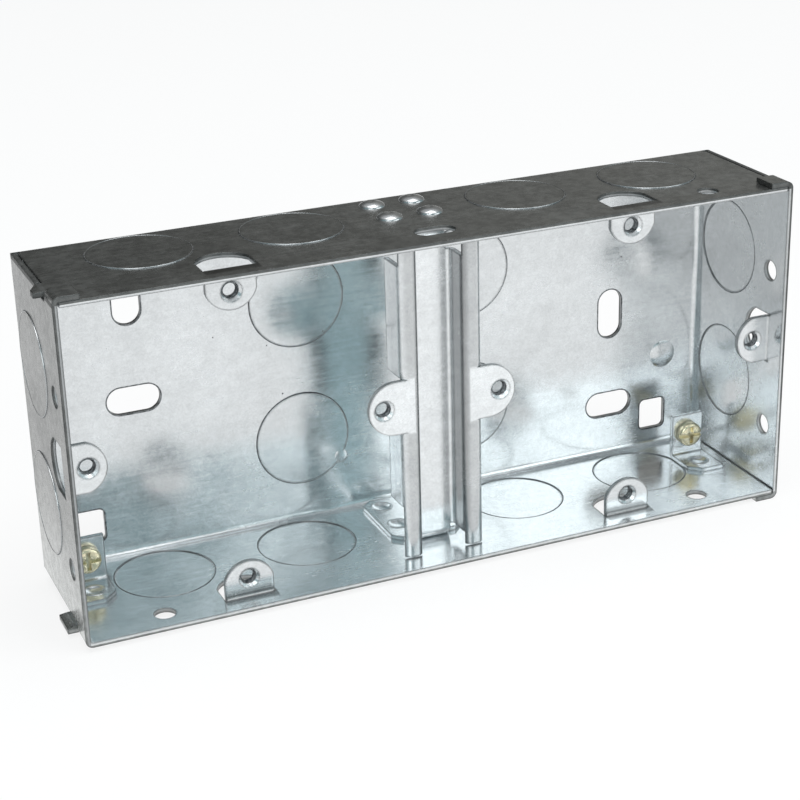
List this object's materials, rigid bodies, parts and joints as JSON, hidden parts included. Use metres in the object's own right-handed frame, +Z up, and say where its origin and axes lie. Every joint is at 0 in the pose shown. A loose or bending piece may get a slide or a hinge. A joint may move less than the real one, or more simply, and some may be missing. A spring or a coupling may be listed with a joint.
{
  "type": "flush back box",
  "caption": "Shallow folded-steel flush back box with lanced fixing lugs, knockouts, a clinched centre divider and brass earth terminals.",
  "frame": {"origin": "middle of the outside of the back panel", "axes": "+X along the box to the right as seen from its open front, +Y out of the back, +Z up"},
  "size_m": [0.1577, 0.035, 0.0722],
  "materials": {
    "zinc_sheet": "galvanised",
    "divider_sheet": "galvanised",
    "bracket_sheet": "galvanised",
    "brass": "satin"
  },
  "bodies": {
    "root": {"box_body": "zinc_sheet", "centre_divider": "divider_sheet", "earth_bracket_left": "bracket_sheet", "earth_bracket_right": "bracket_sheet", "earth_screw_left": "brass", "earth_screw_right": "brass"}
  },
  "joints": []
}
